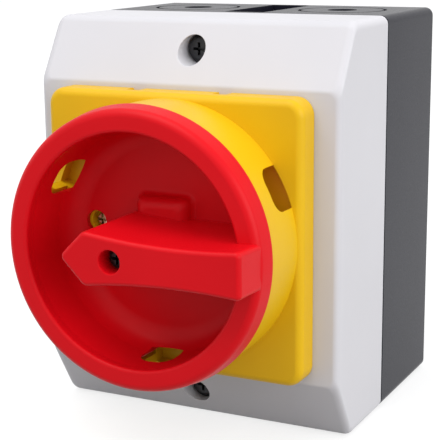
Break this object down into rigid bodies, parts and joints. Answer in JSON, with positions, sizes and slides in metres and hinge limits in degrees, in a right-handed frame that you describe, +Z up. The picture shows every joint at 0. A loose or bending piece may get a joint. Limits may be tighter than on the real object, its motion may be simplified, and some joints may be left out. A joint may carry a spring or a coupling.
{
  "type": "rotary isolator switch",
  "caption": "Surface-mounted rotary isolator: a pale and black enclosure with a yellow padlock plate and a red cup knob whose grip bar turns a quarter turn between off and on.",
  "frame": {"origin": "middle of the back face of the base, where the knob axis meets the wall", "axes": "+Z up, front towards -Y, knob axis along Y"},
  "size_m": [0.076, 0.0977, 0.095],
  "materials": {
    "black_plastic": "fine-textured moulded charcoal",
    "pale_plastic": "satin moulded light grey",
    "yellow_plastic": "satin moulded yellow",
    "red_plastic": "semi-gloss moulded red",
    "black_rubber": "matt",
    "brass": "turned",
    "grey_nylon": "matt moulded",
    "cream_thermoset": "matt moulded",
    "black_nylon": "matt moulded",
    "copper": "stamped",
    "contact_silver": "rolled",
    "spring_steel": "bright",
    "zinc_steel": "zinc plated",
    "black_steel": "blackened"
  },
  "bodies": {
    "case": {"base": "black_plastic", "base_inserts": "brass", "earth_block": "brass", "earth_screw": "zinc_steel", "cover_gasket": "black_rubber", "cover": "pale_plastic", "screw_seals": "black_rubber", "cover_screws": "black_steel", "plate_gasket": "black_rubber", "lock_plate": "yellow_plastic", "plate_screws": "zinc_steel", "plate_inserts": "brass", "shaft_seal": "black_rubber", "bearing_plate": "grey_nylon", "detent_housing": "grey_nylon", "detent_springs": "spring_steel", "stage_1": "cream_thermoset", "stage_2": "cream_thermoset", "end_plate": "grey_nylon", "tie_screws": "zinc_steel", "tie_nuts": "zinc_steel", "line_contacts_1": "copper", "line_contacts_2": "copper", "load_contacts_1": "copper", "load_contacts_2": "copper", "fixed_tips_1": "contact_silver", "fixed_tips_2": "contact_silver", "terminal_clamps_1": "zinc_steel", "terminal_clamps_2": "zinc_steel", "terminal_screws_1": "zinc_steel", "terminal_screws_2": "zinc_steel", "pole_1_spring": "spring_steel", "pole_2_spring": "spring_steel", "pole_3_spring": "spring_steel", "pole_4_spring": "spring_steel"},
    "turning_set": {"shaft": "zinc_steel", "shaft_clip": "zinc_steel", "detent_wheel": "grey_nylon", "stop_washer": "zinc_steel", "cam_1": "black_nylon", "cam_2": "black_nylon", "knob": "red_plastic", "knob_screw": "black_steel"},
    "pole_1": {"pole_1_plunger": "grey_nylon", "pole_1_bridge": "copper", "pole_1_tips": "contact_silver"},
    "pole_2": {"pole_2_plunger": "grey_nylon", "pole_2_bridge": "copper", "pole_2_tips": "contact_silver"},
    "pole_3": {"pole_3_plunger": "grey_nylon", "pole_3_bridge": "copper", "pole_3_tips": "contact_silver"},
    "pole_4": {"pole_4_plunger": "grey_nylon", "pole_4_bridge": "copper", "pole_4_tips": "contact_silver"}
  },
  "joints": [
    {"name": "knob_turn", "type": "hinge", "parent": "case", "child": "turning_set", "pos_m": [0, -0.08, 0], "axis": [0, 1, 0], "range_deg": [0, 90], "deforming": ["detent_springs"]},
    {"name": "pole_1_slide", "type": "slide", "parent": "case", "child": "pole_1", "axis": [1, 0, 0], "range_m": [-0.003, 0], "deforming": ["pole_1_spring"]},
    {"name": "pole_2_slide", "type": "slide", "parent": "case", "child": "pole_2", "axis": [-1, 0, 0], "range_m": [-0.003, 0], "deforming": ["pole_2_spring"]},
    {"name": "pole_3_slide", "type": "slide", "parent": "case", "child": "pole_3", "axis": [1, 0, 0], "range_m": [-0.003, 0], "deforming": ["pole_3_spring"]},
    {"name": "pole_4_slide", "type": "slide", "parent": "case", "child": "pole_4", "axis": [-1, 0, 0], "range_m": [-0.003, 0], "deforming": ["pole_4_spring"]}
  ],
  "couplings": [
    {"joint": "pole_1_slide", "follows": "knob_turn", "m_per_rad": -0.0019098},
    {"joint": "pole_2_slide", "follows": "knob_turn", "m_per_rad": -0.0019098},
    {"joint": "pole_3_slide", "follows": "knob_turn", "m_per_rad": -0.0019098},
    {"joint": "pole_4_slide", "follows": "knob_turn", "m_per_rad": -0.0019098}
  ]
}
